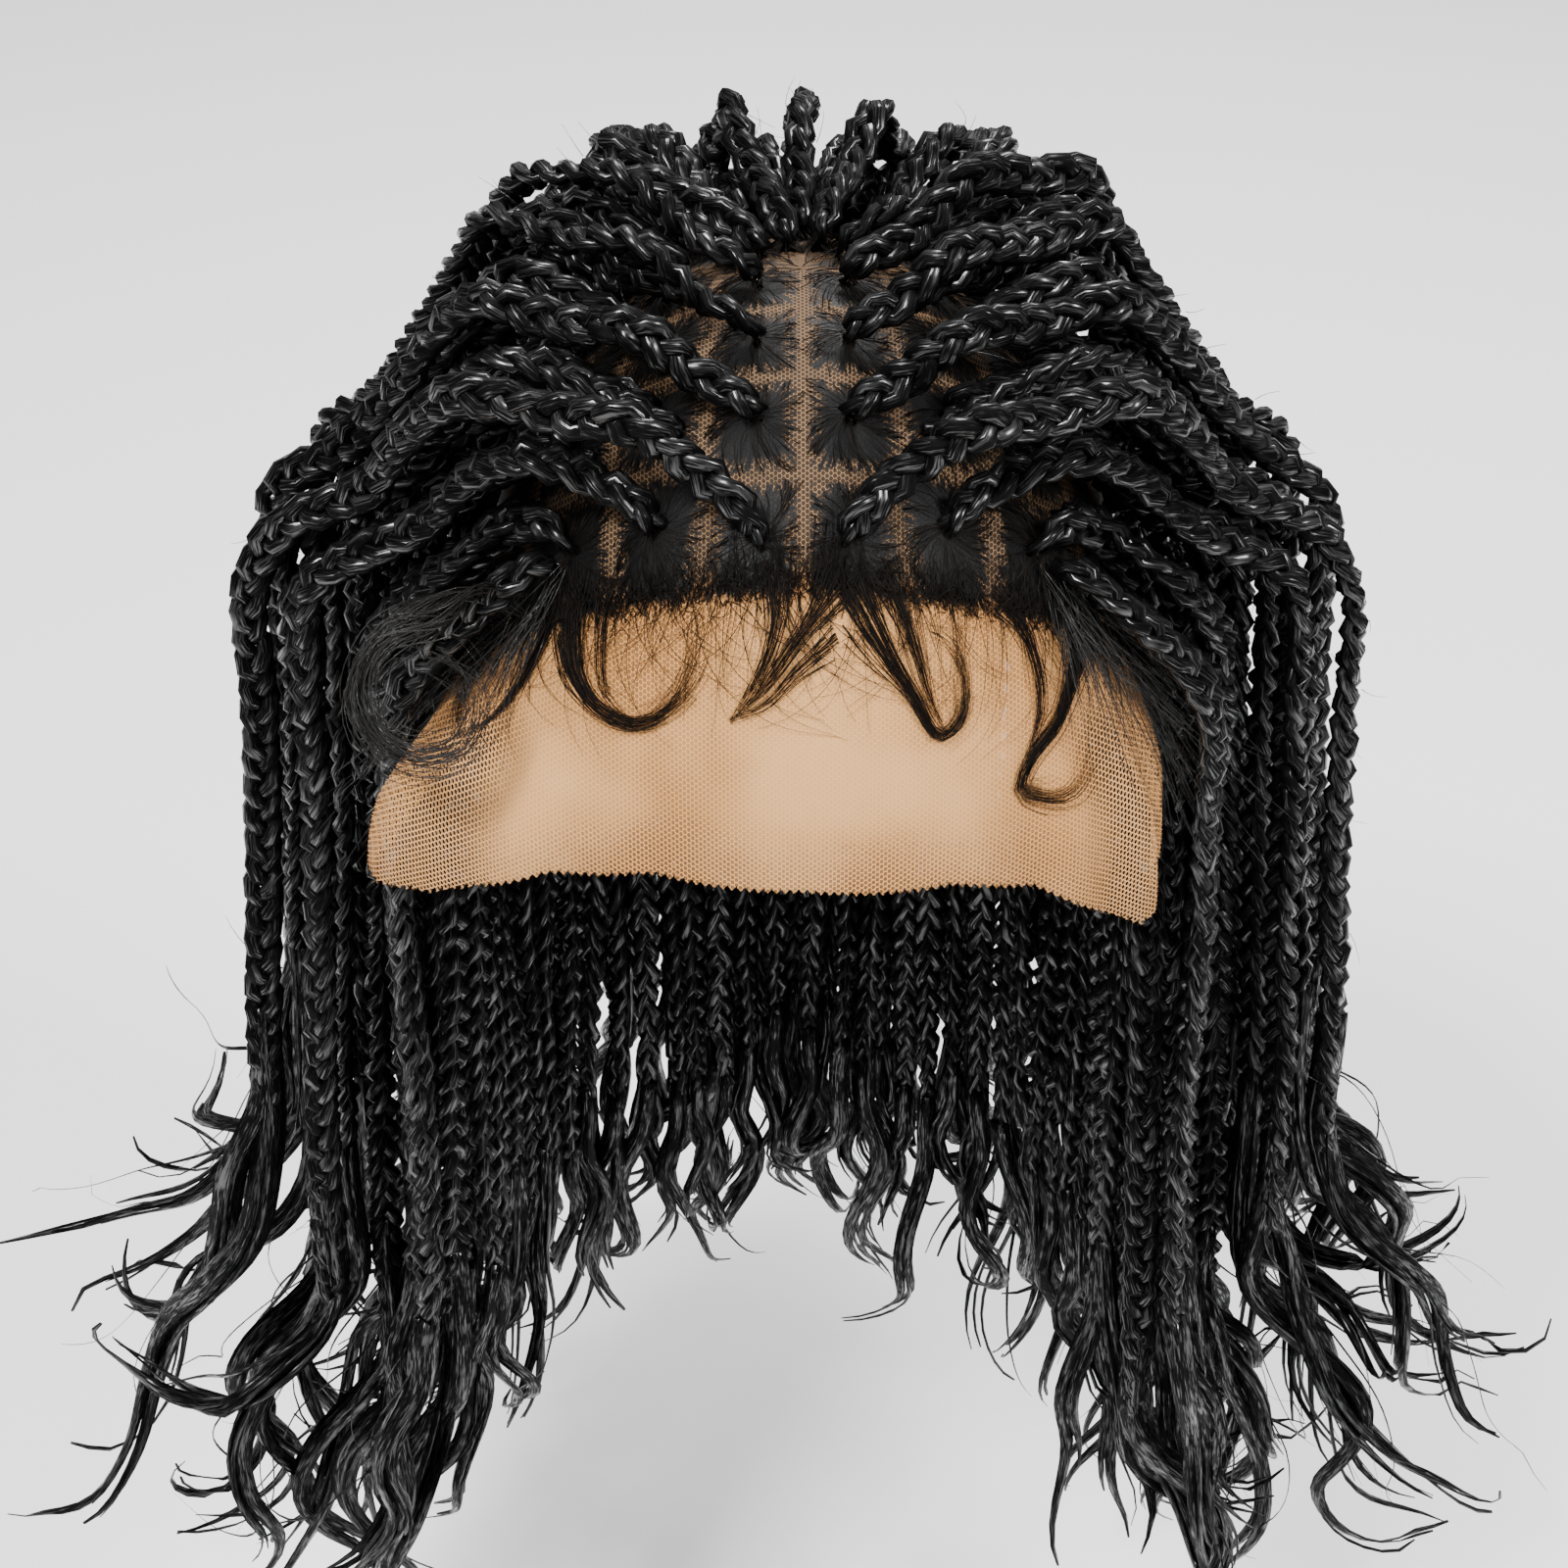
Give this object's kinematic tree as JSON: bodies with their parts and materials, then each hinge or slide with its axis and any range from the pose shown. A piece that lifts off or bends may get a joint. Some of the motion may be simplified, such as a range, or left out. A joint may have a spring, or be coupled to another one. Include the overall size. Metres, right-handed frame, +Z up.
{
  "type": "braid wig",
  "caption": "Long box braid wig on a sheer lace cap with a loose lace front edge, centre parting and curled loose ends, in the form it takes when worn.",
  "frame": {"origin": "inside top of the lace cap, where the crown of the head sits", "axes": "+Z up out of the head, the face side towards -Y, +X towards the right of the picture, which is the wearer's left"},
  "size_m": [0.4475, 0.3443, 0.4872],
  "materials": {
    "lace": "matt netted lace, skin toned",
    "hair": "synthetic hair fibre with a low sheen, black"
  },
  "bodies": {
    "root": {"lace_cap": "lace", "top_braid_left_1": "hair", "top_braid_left_2": "hair", "top_braid_left_3": "hair", "top_braid_left_4": "hair", "top_braid_left_5": "hair", "top_braid_left_6": "hair", "top_braid_left_7": "hair", "top_braid_right_1": "hair", "top_braid_right_2": "hair", "top_braid_right_3": "hair", "top_braid_right_4": "hair", "top_braid_right_5": "hair", "top_braid_right_6": "hair", "top_braid_right_7": "hair", "upper_braid_left_1": "hair", "upper_braid_left_2": "hair", "upper_braid_left_3": "hair", "upper_braid_left_4": "hair", "upper_braid_left_5": "hair", "upper_braid_left_6": "hair", "upper_braid_left_7": "hair", "upper_braid_right_1": "hair", "upper_braid_right_2": "hair", "upper_braid_right_3": "hair", "upper_braid_right_4": "hair", "upper_braid_right_5": "hair", "upper_braid_right_6": "hair", "upper_braid_right_7": "hair", "low_braid_left_1": "hair", "low_braid_left_2": "hair", "low_braid_left_3": "hair", "low_braid_left_4": "hair", "low_braid_left_5": "hair", "low_braid_left_6": "hair", "low_braid_left_7": "hair", "low_braid_right_1": "hair", "low_braid_right_2": "hair", "low_braid_right_3": "hair", "low_braid_right_4": "hair", "low_braid_right_5": "hair", "low_braid_right_6": "hair", "low_braid_right_7": "hair", "top_braid_middle": "hair", "under_bundle_left_1": "hair", "under_bundle_left_2": "hair", "under_bundle_left_3": "hair", "under_bundle_left_4": "hair", "under_bundle_right_1": "hair", "under_bundle_right_2": "hair", "under_bundle_right_3": "hair", "under_bundle_right_4": "hair"}
  },
  "joints": []
}
